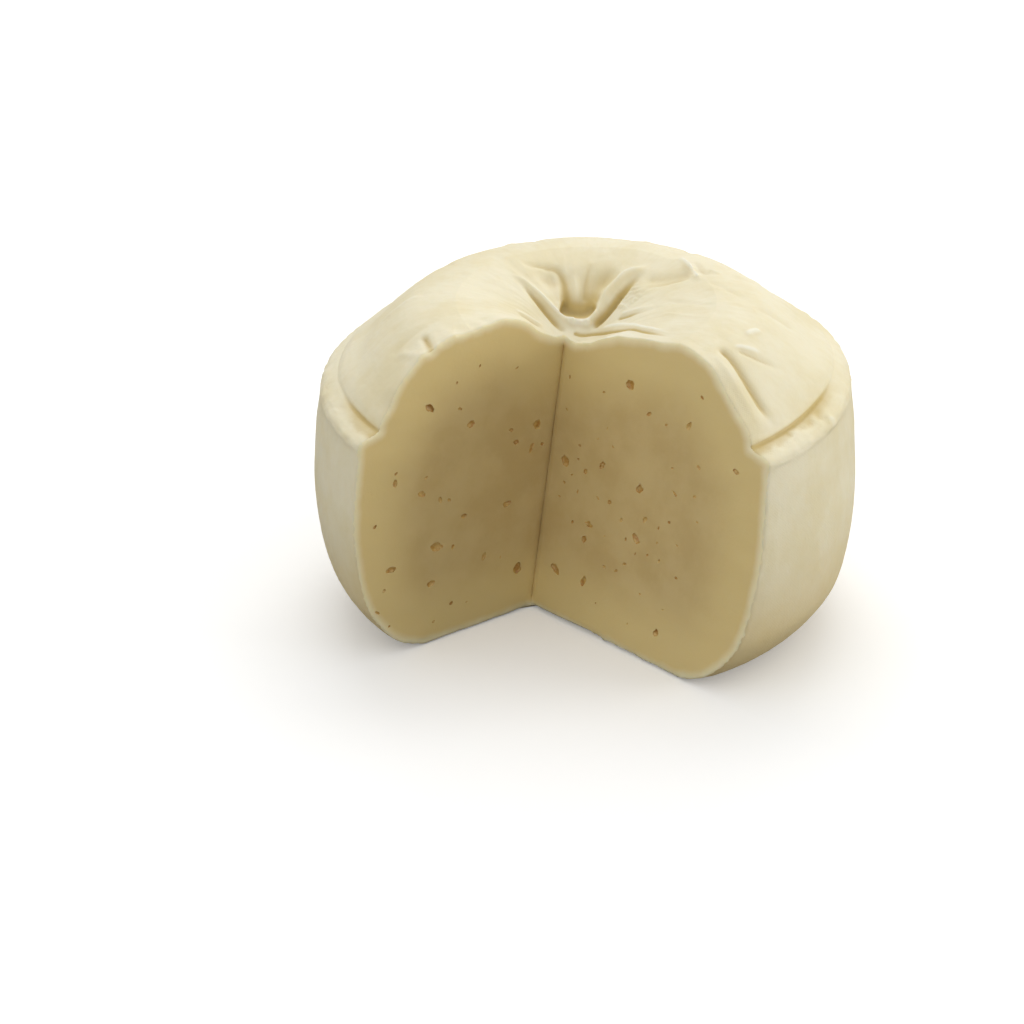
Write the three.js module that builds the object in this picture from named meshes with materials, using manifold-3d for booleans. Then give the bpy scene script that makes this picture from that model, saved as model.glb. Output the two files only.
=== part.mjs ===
// Cut cheese wheel: a cloth-pressed round with a ledge, a gathered crater on top and one wedge cut out.
import * as THREE from 'three';
import { mergeVertices } from 'three/addons/utils/BufferGeometryUtils.js';
import Module from 'manifold-3d';

const wasm = await Module();
wasm.setup();

const { clamp, degToRad, lerp, radToDeg, seededRandom, smoothstep } = THREE.MathUtils;

// Half outline in millimetres, as pairs of radius and height: the axis is Z and the base lies on z = 0
const BASE_EDGE = [53, 0];
const FOOT = [[61.2, 3.6], [68.1, 11], [72, 20]];
const BULGE = [74.1, 38];
const WALL_TOP = [[73.2, 55], [71.9, 64.6]];
const LIP_NECK = [71.6, 66.3];
const LEDGE = {
  lip: [[71.8, 67.3], [71.3, 68.5], [70, 69.3]],
  groove: [65.2, 70.6],
  shoulderFoot: [64.2, 73.2],
};
const SHOULDER = [[60.6, 77.1], [56, 81.4], [51.2, 85.2]];
const TOP_EDGE = [[47.3, 87.6], [43, 88.9], [39, 89.7]];
const RIM = [35, 90];
const CRATER_WALL = [[27, 88.6], [21, 87], [16, 85.1], [12.4, 83], [8.6, 80.7], [5.6, 79]];
const CRATER_FLOOR = [0, 77.6];

// Away from the cut most of the ledge runs out into a plain shoulder, between two angles from the front
const RUN_OUT = {
  lip: [[71.5, 67.5], [70.9, 68.9], [70, 70.1]],
  groove: [67.7, 72.5],
  shoulderFoot: [65.2, 74.3],
};
const RUN_OUT_ANGLES = [58, 88];
const RUN_OUT_SHARE = 0.7;

// Steps along the outline's stretches and round the wheel
const WALL_STEPS = 9;
const LIP_STEPS = 4;
const LEDGE_STEPS = 2;
const SHOULDER_STEPS = 14;
const CRATER_STEPS = 20;
const ROUND_STEPS = 120;

// The pressed wheel isn't quite true: ledge and top slope, and foot and crater are set off, in millimetres
const LEDGE_SLOPE_X = 0.028;
const TOP_SLOPE_X = 0.004;
const TOP_SLOPE_Y = 0.06;
const SLOPE_START_HEIGHT = 15;
const FOOT_SHIFT_X = 0.9;
const FOOT_SHIFT_HEIGHT = 45;
const CRATER_SHIFT_X = -2;
const CRATER_SHIFT_RADIUS = 40;

// Folds that the gathered cloth pressed into the top, each a curve in plan with its height and half width
const FOLD_STEPS = 12;
const FOLD_FADE = 0.3;
const FOLD_END_LOSS = 0.5;
const CRATER_FOLDS = [
  { from: [-23, 19.4], bend: [-11.7, 17.4], to: [-2.2, 6], height: 2, width: 1.6 },
  { from: [-21, 16.8], bend: [-11.6, 9.6], to: [-6, 3.4], height: -2.2, width: 1.5 },
  { from: [-20.4, 2], bend: [-15.5, 3.4], to: [-11, 2.2], height: -0.9, width: 1.3 },
  { from: [-17.4, 24.1], bend: [-12, 26.4], to: [-6.9, 24.3], height: -0.8, width: 1.4 },
  { from: [-6.9, 24.3], bend: [-4.8, 17.4], to: [-4.4, 11], height: -1.2, width: 1.4 },
  { from: [-16.5, 20.5], bend: [-2, 23.4], to: [11.5, 20], height: -1.9, width: 2.8 },
  { from: [-9, 15.5], bend: [-2, 16.6], to: [6, 14.8], height: -1.7, width: 3.4 },
  { from: [-3.4, 11], bend: [0, 11.8], to: [3, 10.4], height: -1, width: 2.6 },
  { from: [-2.2, 24], bend: [-2.1, 16.5], to: [-2.2, 9.2], height: 1.2, width: 1.5 },
  { from: [2.4, 25], bend: [1.8, 17.5], to: [1, 9.6], height: -1.1, width: 1.5 },
  { from: [18.4, 24.8], bend: [7.6, 14.6], to: [1.7, 5.6], height: 2.4, width: 1.9 },
  { from: [17, 18.4], bend: [8.8, 11.4], to: [4, 4.6], height: -2.3, width: 1.6 },
  { from: [20, 1], bend: [12.5, 5.6], to: [8, 4.6], height: -0.5, width: 1.8 },
  { from: [26, -20], bend: [7.75, 3.4], to: [-0.8, 5.8], height: 0.8, width: 1.7 },
  { from: [26, -25], bend: [6.1, 1.2], to: [-1, 1.6], height: -0.6, width: 1.8 },
  { from: [26, 29], bend: [28.4, 21.8], to: [31.2, 15.8], height: 1.1, width: 1.8 },
  { from: [17, 17.8], bend: [23, 17.2], to: [29.4, 16], height: -0.9, width: 1.9 },
  { from: [17, 22.6], bend: [22, 22], to: [28.4, 20.8], height: 0.5, width: 2.2 },
  { from: [31.2, 24], bend: [33.2, 20], to: [36.2, 16.8], height: 0.6, width: 1.5 },
  { from: [32, 13], bend: [38.2, 6.5], to: [44.4, 0.5], height: -0.4, width: 1.6 },
  { from: [38, -42], bend: [18, -22], to: [2, -8], height: -1.2, width: 8 },
  { from: [-38, -24], bend: [-24, -12], to: [-12, -3], height: 0.8, width: 7 },
];
const SHOULDER_FOLDS = [
  { from: [41.6, -17.6], bend: [44, -16.4], to: [46.4, -14.2], height: 0.9, width: 1.8 },
  { from: [37.6, -26], bend: [41, -24.4], to: [45.6, -23], height: 0.9, width: 1.7 },
  { from: [33, -27.6], bend: [38.7, -35], to: [45.4, -41.4], height: -2, width: 2 },
  { from: [37.6, -27], bend: [44.7, -27.6], to: [53, -25.6], height: -1.1, width: 1.6 },
  { from: [-43.4, -16.6], bend: [-42, -21], to: [-39.6, -26.6], height: -1.4, width: 1.7 },
  { from: [-45.6, -17.6], bend: [-44.6, -22], to: [-42.2, -27.6], height: 0.9, width: 1.8 },
];

// Folds like those on the shoulder run on round the back, spread with seeded spacing
const BACK_FOLDS = { count: 9, fromAngle: 75, toAngle: 300, inner: 44, outer: 58, height: 1, width: 1.8 };
const BACK_FOLD_TURN = 6;
const BACK_FOLD_PLACES = [0.2, 0.8];
const BACK_FOLD_SHARES = [0.5, 1];
const BACK_FOLD_SHORTEST = 53;
const BACK_FOLD_SEED = 11;

// Wedge cut: its edge line leans, and its two faces open to the front, in degrees from straight ahead
const CUT_EDGE = new THREE.Vector3(-5.5, 1.8, 79);
const CUT_LEAN_X = 0.118;
const CUT_LEAN_Y = 0.092;
const CUT_LEFT_ANGLE = -52.2;
const CUT_RIGHT_ANGLE = 43;
const CUT_REACH = 160;
const CUT_MARGIN = 10;

// Eyes open on the cut faces: distance out from the cut's edge line, height and half size
const LEFT_EYES = [
  [43.9, 69.3, 2.4], [29.3, 61.2, 1.3], [5.9, 54.9, 1.5], [6.9, 48.6, 1.5],
  [12.7, 51.8, 1], [52.8, 50.7, 1.1], [43.5, 45.3, 1.1], [36.9, 41.9, 1],
  [13.2, 34.2, 1.3], [27.9, 34.8, 1.1], [36.4, 28.4, 1.8], [51, 26, 1.4],
];
const RIGHT_EYES = [[25.9, 72.5, 1.5], [48.4, 67.9, 1.1], [34, 66.8, 1.1], [66.4, 61.1, 1]];
const HIDDEN_EYES = { tries: 60, spacing: 10, minOut: 6, maxOut: 52, minHeight: 8 };
const HIDDEN_EYE_SIZES = [1, 1.8];
const LEFT_HIDDEN_TOP = 24;
const RIGHT_HIDDEN_TOP = 58;
const LEFT_EYE_SEED = 21;
const RIGHT_EYE_SEED = 42;
const EYE_SINK = 0.25;
const EYE_FLATTEST = 0.6;
const FINE_EYE_SIZE = 1.35;

/** Keeps only the positions of a geometry and joins the corners that its faces share. */
function mergedPositions(geometry) {
  geometry.deleteAttribute('normal');
  geometry.deleteAttribute('uv');
  return mergeVertices(geometry);
}

/** Turns a closed geometry into a solid that can be cut and joined. */
function toSolid(geometry) {
  const merged = mergedPositions(geometry);
  const vertProperties = new Float32Array(merged.attributes.position.array);
  const triVerts = new Uint32Array(merged.index.array);
  return new wasm.Manifold(new wasm.Mesh({ numProp: 3, vertProperties, triVerts }));
}

/** Turns a solid back into a geometry. */
function toGeometry(solid) {
  const mesh = solid.getMesh();
  const geometry = new THREE.BufferGeometry();
  geometry.setAttribute('position', new THREE.BufferAttribute(new Float32Array(mesh.vertProperties), 3));
  geometry.setIndex(new THREE.BufferAttribute(new Uint32Array(mesh.triVerts), 1));
  geometry.computeVertexNormals();
  return geometry;
}

/** Seeded draws between two limits, as a function that gives the next one. */
function drawsFrom(seed) {
  seededRandom(seed);
  return (low, high) => lerp(low, high, seededRandom());
}

/** Points of a smooth curve through pairs of radius and height. */
function curvePoints(pairs, steps) {
  const curve = new THREE.SplineCurve(pairs.map(([radius, height]) => new THREE.Vector2(radius, height)));
  return curve.getPoints(steps);
}

/** Half outline of the whole wheel, from the middle of the base to the middle of the crater. */
function wheelOutline({ lip, groove, shoulderFoot }) {
  const stretches = [
    curvePoints([BASE_EDGE, ...FOOT, BULGE, ...WALL_TOP, LIP_NECK], WALL_STEPS),
    curvePoints([LIP_NECK, ...lip], LIP_STEPS),
    curvePoints([lip.at(-1), groove], LEDGE_STEPS),
    curvePoints([groove, shoulderFoot, ...SHOULDER, ...TOP_EDGE, RIM], SHOULDER_STEPS),
    curvePoints([RIM, ...CRATER_WALL, CRATER_FLOOR], CRATER_STEPS),
  ];
  const centre = new THREE.Vector2(0, 0);
  return [centre, stretches[0][0], ...stretches.flatMap((points) => points.slice(1))];
}

/** Folds on the hidden shoulder: radial creases and ridges in turn, unevenly spaced. */
function backFolds() {
  const { count, fromAngle, toAngle, inner, outer, height, width } = BACK_FOLDS;
  const draw = drawsFrom(BACK_FOLD_SEED);
  const pitch = (toAngle - fromAngle) / count;
  return Array.from({ length: count }, (_, i) => {
    const angle = degToRad(fromAngle + pitch * (i + draw(...BACK_FOLD_PLACES)));
    const turn = degToRad(draw(-BACK_FOLD_TURN, BACK_FOLD_TURN));
    const at = (radius, share) => {
      const bearing = angle + turn * share;
      return [radius * Math.sin(bearing), -radius * Math.cos(bearing)];
    };
    const end = draw(BACK_FOLD_SHORTEST, outer);
    const rise = (i % 2 ? 1 : -1) * height * draw(...BACK_FOLD_SHARES);
    return { from: at(inner, 0), bend: at((inner + end) / 2, 0.5), to: at(end, 1), height: rise, width };
  });
}

/** Prepares the folds: each gets its curve's points. */
function foldCurves(folds) {
  return folds.map(({ from, bend, to, height, width }) => {
    const corners = [from, bend, to].map(([x, y]) => new THREE.Vector2(x, y));
    return { points: new THREE.QuadraticBezierCurve(...corners).getPoints(FOLD_STEPS), height, width };
  });
}

const FOLDS = foldCurves([...CRATER_FOLDS, ...SHOULDER_FOLDS, ...backFolds()]);

/** Height that one fold adds at a place in plan: rounded across its curve and faded at its ends. */
function foldRise({ points, height, width }, place) {
  const offset = new THREE.Vector2();
  const along = new THREE.Vector2();
  let nearest = Infinity;
  let share = 0;
  for (let i = 0; i < FOLD_STEPS; i += 1) {
    along.subVectors(points[i + 1], points[i]);
    offset.subVectors(place, points[i]);
    const step = clamp(offset.dot(along) / along.lengthSq(), 0, 1);
    const distance = offset.addScaledVector(along, -step).length();
    if (distance < nearest) {
      nearest = distance;
      share = (i + step) / FOLD_STEPS;
    }
  }
  const fade = smoothstep(share, 0, FOLD_FADE) * (1 - FOLD_END_LOSS * smoothstep(share, 1 - FOLD_FADE, 1));
  return height * fade * Math.exp(-((nearest / width) ** 2));
}

/** Where a point of the true wheel goes on the wheel as it was pressed and has settled. */
function settled({ x, y, z }) {
  const raised = smoothstep(z, SLOPE_START_HEIGHT, LEDGE.groove[1]);
  const domed = smoothstep(z, LEDGE.groove[1], RIM[1]);
  const slopeX = raised * lerp(LEDGE_SLOPE_X, TOP_SLOPE_X, domed);
  const footShift = FOOT_SHIFT_X * (1 - smoothstep(z, 0, FOOT_SHIFT_HEIGHT));
  const craterShift = raised * CRATER_SHIFT_X * (1 - smoothstep(Math.hypot(x, y), 0, CRATER_SHIFT_RADIUS));
  return new THREE.Vector3(x + footShift + craterShift, y, z + slopeX * x + raised * TOP_SLOPE_Y * y);
}

/** Share of the ledge that has run out at a place: none by the cut, most of it round the back. */
function runOut({ x, y }) {
  const angle = radToDeg(Math.abs(Math.atan2(x, -y)));
  return RUN_OUT_SHARE * smoothstep(angle, ...RUN_OUT_ANGLES);
}

/** The turned wheel, true to its outline, with the ledge that runs out towards the back. */
function turnedWheel() {
  const [wheel, plain] = [LEDGE, RUN_OUT].map((ledge) => {
    const lathe = new THREE.LatheGeometry(wheelOutline(ledge), ROUND_STEPS);
    return lathe.rotateX(Math.PI / 2);
  });
  const place = new THREE.Vector3();
  const filled = new THREE.Vector3();
  for (let i = 0; i < wheel.attributes.position.count; i += 1) {
    place.fromBufferAttribute(wheel.attributes.position, i);
    filled.fromBufferAttribute(plain.attributes.position, i);
    place.lerp(filled, runOut(place));
    wheel.attributes.position.setXYZ(i, place.x, place.y, place.z);
  }
  return mergedPositions(wheel);
}

/** The whole wheel before the cut, settled and with its folds pressed in. */
function wholeWheel() {
  const wheel = turnedWheel();
  wheel.computeVertexNormals();
  const { position, normal } = wheel.attributes;
  const place = new THREE.Vector3();
  const outward = new THREE.Vector3();
  for (let i = 0; i < position.count; i += 1) {
    place.fromBufferAttribute(position, i);
    outward.fromBufferAttribute(normal, i);
    const onTop = place.z > LEDGE.groove[1];
    const spot = settled(place);
    if (onTop) {
      const inPlan = new THREE.Vector2(spot.x, spot.y);
      const rise = FOLDS.reduce((sum, fold) => sum + foldRise(fold, inPlan), 0);
      spot.addScaledVector(outward, rise);
    }
    position.setXYZ(i, spot.x, spot.y, spot.z);
  }
  return toSolid(wheel);
}

/** Level direction, out from the cut's edge line, of the face at an angle from straight ahead. */
function cutDirection(angle) {
  return new THREE.Vector3(Math.sin(degToRad(angle)), -Math.cos(degToRad(angle)), 0);
}

/** The wedge that is cut out: a tall prism on a triangle, leaning with the cut's edge line. */
function cutWedge() {
  const left = cutDirection(CUT_LEFT_ANGLE).multiplyScalar(CUT_REACH);
  const right = cutDirection(CUT_RIGHT_ANGLE).multiplyScalar(CUT_REACH);
  const triangle = new THREE.Shape([new THREE.Vector2(0, 0), left, right]);
  const depth = RIM[1] + 2 * CUT_MARGIN;
  const prism = new THREE.ExtrudeGeometry(triangle, { depth, bevelEnabled: false });
  prism.translate(0, 0, -CUT_EDGE.z - CUT_MARGIN);
  const lean = new THREE.Matrix4().set(1, 0, CUT_LEAN_X, 0, 0, 1, CUT_LEAN_Y, 0, 0, 0, 1, 0, 0, 0, 0, 1);
  prism.applyMatrix4(lean);
  prism.translate(CUT_EDGE.x, CUT_EDGE.y, CUT_EDGE.z);
  return toSolid(prism);
}

/** Eyes for the part of a cut face below a height, kept apart from each other and from those given. */
function hiddenEyes(given, topHeight, draw) {
  const { tries, spacing, minOut, maxOut, minHeight } = HIDDEN_EYES;
  const eyes = [...given];
  for (let i = 0; i < tries; i += 1) {
    const out = draw(minOut, maxOut);
    const height = draw(minHeight, topHeight);
    if (eyes.every(([o, h]) => Math.hypot(o - out, h - height) > spacing)) {
      eyes.push([out, height, draw(...HIDDEN_EYE_SIZES)]);
    }
  }
  return eyes;
}

/** One eye as a lumpy round hollow just under a cut face. */
function eyeHollow([out, height, size], direction, draw) {
  const inward = Math.sign(direction.x);
  const hollow = new THREE.IcosahedronGeometry(size, size > FINE_EYE_SIZE ? 1 : 0);
  hollow.scale(1, draw(EYE_FLATTEST, 1), draw(EYE_FLATTEST, 1));
  hollow.rotateY(draw(0, Math.PI));
  hollow.rotateZ(draw(0, Math.PI));
  const drop = height - CUT_EDGE.z;
  const sink = EYE_SINK * size * inward;
  hollow.translate(
    CUT_EDGE.x + CUT_LEAN_X * drop + direction.x * out - direction.y * sink,
    CUT_EDGE.y + CUT_LEAN_Y * drop + direction.y * out + direction.x * sink,
    height,
  );
  return toSolid(hollow);
}

/** All the eyes of one cut face, joined to one cutter. */
function eyesOfFace(given, topHeight, angle, seed) {
  const draw = drawsFrom(seed);
  const direction = cutDirection(angle);
  const hollows = hiddenEyes(given, topHeight, draw).map((eye) => eyeHollow(eye, direction, draw));
  return hollows.reduce((joined, hollow) => joined.add(hollow));
}

/** The wheel with its wedge cut out and the eyes open on the two faces of the cut. */
function cutWheel() {
  const leftEyes = eyesOfFace(LEFT_EYES, LEFT_HIDDEN_TOP, CUT_LEFT_ANGLE, LEFT_EYE_SEED);
  const rightEyes = eyesOfFace(RIGHT_EYES, RIGHT_HIDDEN_TOP, CUT_RIGHT_ANGLE, RIGHT_EYE_SEED);
  return wholeWheel().subtract(cutWedge()).subtract(leftEyes).subtract(rightEyes);
}

const rindAndPaste = new THREE.MeshStandardMaterial({ color: 0xeae0bd, roughness: 0.6, metalness: 0 });
const wheel = new THREE.Mesh(toGeometry(cutWheel()), rindAndPaste);
wheel.name = 'cheese_wheel';

const cheese = new THREE.Group();
cheese.add(wheel);

export default cheese;
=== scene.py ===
"""Cut cheese wheel: the dressed piece, its studio floor, lights and camera.

Sizes are in millimetres, but those of the floor and the lights in metres. +Z is up, the
wheel's axis is x = y = 0, it stands on z = 0 and the cut-out wedge opens towards -Y.
"""

import logging
import math
import random
from dataclasses import dataclass, field
from enum import Enum
from typing import Any, ClassVar, Optional

import bmesh
import bpy
import numpy as np
from bmesh.types import BMesh, BMVert
from bpy.types import Material, Node, NodeSocket, NodeTree, Object
from mathutils import Color, Matrix, Vector, noise
from mathutils.bvhtree import BVHTree
from mathutils.geometry import interpolate_bezier
from mathutils.interpolate import poly_3d_calc


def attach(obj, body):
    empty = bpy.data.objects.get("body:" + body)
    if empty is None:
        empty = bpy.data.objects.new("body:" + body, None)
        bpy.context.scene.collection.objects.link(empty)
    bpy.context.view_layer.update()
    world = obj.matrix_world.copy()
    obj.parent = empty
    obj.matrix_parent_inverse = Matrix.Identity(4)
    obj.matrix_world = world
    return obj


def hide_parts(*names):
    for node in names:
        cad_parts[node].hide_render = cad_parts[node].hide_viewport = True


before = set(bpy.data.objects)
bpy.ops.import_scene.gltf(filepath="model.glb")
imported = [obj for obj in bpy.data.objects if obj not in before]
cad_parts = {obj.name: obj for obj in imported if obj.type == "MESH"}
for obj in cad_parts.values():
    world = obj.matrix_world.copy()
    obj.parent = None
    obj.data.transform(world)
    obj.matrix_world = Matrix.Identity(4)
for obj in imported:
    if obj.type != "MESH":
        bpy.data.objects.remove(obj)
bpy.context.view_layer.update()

LOG = logging.getLogger("cheese_wheel")
MM = 0.001
# How fast finer layers of noise fade, and how much finer each one is
SWELL_FADE = 0.9
SWELL_STEP = 2.0

Array = np.ndarray
# A point in plan or on the outline, a line of them, and both ends of a range
Plan = tuple[float, float]
Path = tuple[Plan, ...]
Span = tuple[float, float]
# A point, or an eye's distance out, height and half size
Triple = tuple[float, float, float]
# Low and high value, and the result at each
Ramp = tuple[float, float, float, float]
Colour = tuple[float, float, float, float]
# Search tree of the uncut skin, and the corners and layer values of each face
Skin = tuple[BVHTree, list[list[Vector]], list[list[Plan]]]


class Zone(Enum):
    """The surfaces of the piece, in the order of its material slots."""

    RIND = 0
    PASTE = 1
    EYE = 2


class Side(Enum):
    """The two faces of the cut, as seen from the front; the value turns a face's normal to the gap."""

    LEFT = -1
    RIGHT = 1


def tint(red: int, green: int, blue: int) -> Colour:
    """A colour as a screen shows it, 0 to 255, turned into the linear one that shaders take."""
    screen = Color((red / 255, green / 255, blue / 255))
    return (*screen.from_srgb_to_scene_linear(), 1.0)


def ease(value: Array, low: float, high: float) -> Array:
    """A soft step that leaves 0 at the low value and reaches 1 at the high one."""
    share = np.clip((value - low) / (high - low), 0, 1)
    return share * share * (3 - 2 * share)


def swell(points: Array, spacing: float, octaves: int = 2) -> Array:
    """Smooth noise, about -1 to 1, at points one a row: swells of a size, with finer octaves on them."""
    rows = points / spacing
    return np.array([noise.fractal(Vector(row), SWELL_FADE, SWELL_STEP, octaves) for row in rows])


def spline(points: list[Plan], steps: int) -> list[Plan]:
    """A smooth line through points.

    Args:
        points: Points that it passes through.
        steps: Pieces between two points.

    Returns:
        The line's points without the first.
    """
    ends = [points[0], *points, points[-1]]
    line: list[Plan] = []
    for knots in zip(ends, ends[1:], ends[2:], ends[3:]):
        before, start, stop, after = (Vector(knot) for knot in knots)
        leave = start + (stop - before) / 6
        reach = stop - (after - start) / 6
        line += [tuple(spot[:2]) for spot in interpolate_bezier(start, leave, reach, stop, steps + 1)[1:]]
    return line


def new_object(name: str, shape: BMesh, *materials: Material) -> Object:
    """Puts a bmesh into a new object at the origin and frees it.

    Args:
        name: Name of the object and of its mesh.
        shape: The finished bmesh.
        *materials: Materials for its slots, in order.

    Returns:
        The linked object.
    """
    mesh = bpy.data.meshes.new(name)
    shape.to_mesh(mesh)
    shape.free()
    for material in materials:
        mesh.materials.append(material)
    made = bpy.data.objects.new(name, mesh)
    bpy.context.scene.collection.objects.link(made)
    return made


class NodeSheet:
    """Adds nodes to one node tree and links them."""

    def __init__(self, tree: NodeTree) -> None:
        """Keeps the tree that nodes go into."""
        self.tree = tree

    def add(self, kind: str, inputs: dict[Any, Any], **settings: Any) -> Node:
        """Adds one node.

        Args:
            kind: The node's type name.
            inputs: Socket name or number to a value, or to the socket that feeds it.
            **settings: Properties of the node.

        Returns:
            The new node.
        """
        node = self.tree.nodes.new(kind)
        for name, value in settings.items():
            setattr(node, name, value)
        for key, value in inputs.items():
            if isinstance(value, NodeSocket):
                self.tree.links.new(value, node.inputs[key])
            else:
                node.inputs[key].default_value = value
        return node

    def maths(self, operation: str, *values: Any) -> NodeSocket:
        """Adds a Math node on numbers or sockets and returns its output."""
        return self.add("ShaderNodeMath", dict(enumerate(values)), operation=operation).outputs[0]

    def blend(self, factor: Any, first: Any, second: Any) -> NodeSocket:
        """Adds a colour Mix node, with the first colour at factor 0, and returns its output."""
        return self.add("ShaderNodeMix", {0: factor, 6: first, 7: second}, data_type="RGBA").outputs[2]

    def fit(self, value: Any, *ramp: float) -> NodeSocket:
        """Adds a Map Range node that follows a ramp smoothly and returns its output."""
        inputs = dict(enumerate((value, *ramp)))
        return self.add("ShaderNodeMapRange", inputs, interpolation_type="SMOOTHSTEP").outputs[0]

    def group(self, tree: NodeTree, **inputs: Any) -> NodeSocket:
        """Adds a shader group and returns its one output."""
        return self.add("ShaderNodeGroup", inputs, node_tree=tree).outputs[0]

    def attribute(self, name: str, output: str = "Fac") -> NodeSocket:
        """Adds a node that reads an attribute of the mesh and returns its output."""
        return self.add("ShaderNodeAttribute", {}, attribute_name=name).outputs[output]

    def noise(self, place: Any, scale: Any, detail: float, roughness: float = 0.5) -> NodeSocket:
        """Adds a Noise Texture node and returns its first output."""
        inputs = {"Vector": place, "Scale": scale, "Detail": detail, "Roughness": roughness}
        return self.add("ShaderNodeTexNoise", inputs).outputs[0]

    def place(self) -> NodeSocket:
        """Adds a node for the place on the object and returns its output."""
        return self.add("ShaderNodeTexCoord", {}).outputs["Object"]

    def surface(self, inputs: dict[str, Any]) -> None:
        """Adds a Principled shader and the material's output."""
        shader = self.add("ShaderNodeBsdfPrincipled", inputs)
        self.add("ShaderNodeOutputMaterial", {"Surface": shader.outputs[0]})


def new_material(name: str) -> tuple[Material, NodeSheet]:
    """Makes a material without nodes.

    Args:
        name: Its name.

    Returns:
        The material and the sheet that fills it.
    """
    made = bpy.data.materials.new(name)
    made.use_nodes = True
    made.node_tree.nodes.clear()
    return made, NodeSheet(made.node_tree)


@dataclass
class Effects:
    """Shader groups that more than one finish uses."""

    cloud_ramp: Ramp = (0.35, 0.68, 0, 1)
    wide_share: float = 0.16
    mottle: Optional[NodeTree] = None
    grain: Optional[NodeTree] = None

    def build(self) -> "Effects":
        """Builds both groups and returns itself."""
        self.mottle = self._mottle()
        self.grain = self._grain()
        return self

    @staticmethod
    def _sheet(name: str, output: str, **inputs: str) -> NodeSheet:
        """Makes a group with its sockets.

        Args:
            name: The group's name.
            output: Type of the one output.
            **inputs: Type of each input.

        Returns:
            The sheet that fills the group.
        """
        tree = bpy.data.node_groups.new(name, "ShaderNodeTree")
        for socket, kind in inputs.items():
            tree.interface.new_socket(socket, in_out="INPUT", socket_type=f"NodeSocket{kind}")
        tree.interface.new_socket("Result", in_out="OUTPUT", socket_type=f"NodeSocket{output}")
        return NodeSheet(tree)

    def _mottle(self) -> NodeTree:
        """Builds the group that clouds one colour with another.

        Returns:
            The group, whose result is a colour.
        """
        sheet = self._sheet("clouded_colour", "Color", Vector="Vector", Scale="Float", Light="Color",
                            Deep="Color")
        given = sheet.add("NodeGroupInput", {}).outputs
        cloud = sheet.noise(given["Vector"], given["Scale"], detail=4, roughness=0.6)
        share = sheet.fit(cloud, *self.cloud_ramp)
        sheet.add("NodeGroupOutput", {"Result": sheet.blend(share, given["Light"], given["Deep"])})
        return sheet.tree

    def _grain(self) -> NodeTree:
        """Builds the group that gives the fine unevenness of curd.

        Returns:
            The group, whose result is a height.
        """
        sheet = self._sheet("curd_grain", "Float", Vector="Vector", Scale="Float", Coarse="Float")
        given = sheet.add("NodeGroupInput", {}).outputs
        fine = sheet.noise(given["Vector"], given["Scale"], detail=5, roughness=0.65)
        wider = sheet.maths("MULTIPLY", given["Scale"], self.wide_share)
        wide = sheet.noise(given["Vector"], wider, detail=2)
        raised = sheet.maths("MULTIPLY", wide, given["Coarse"])
        sheet.add("NodeGroupOutput", {"Result": sheet.maths("ADD", fine, raised)})
        return sheet.tree


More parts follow.
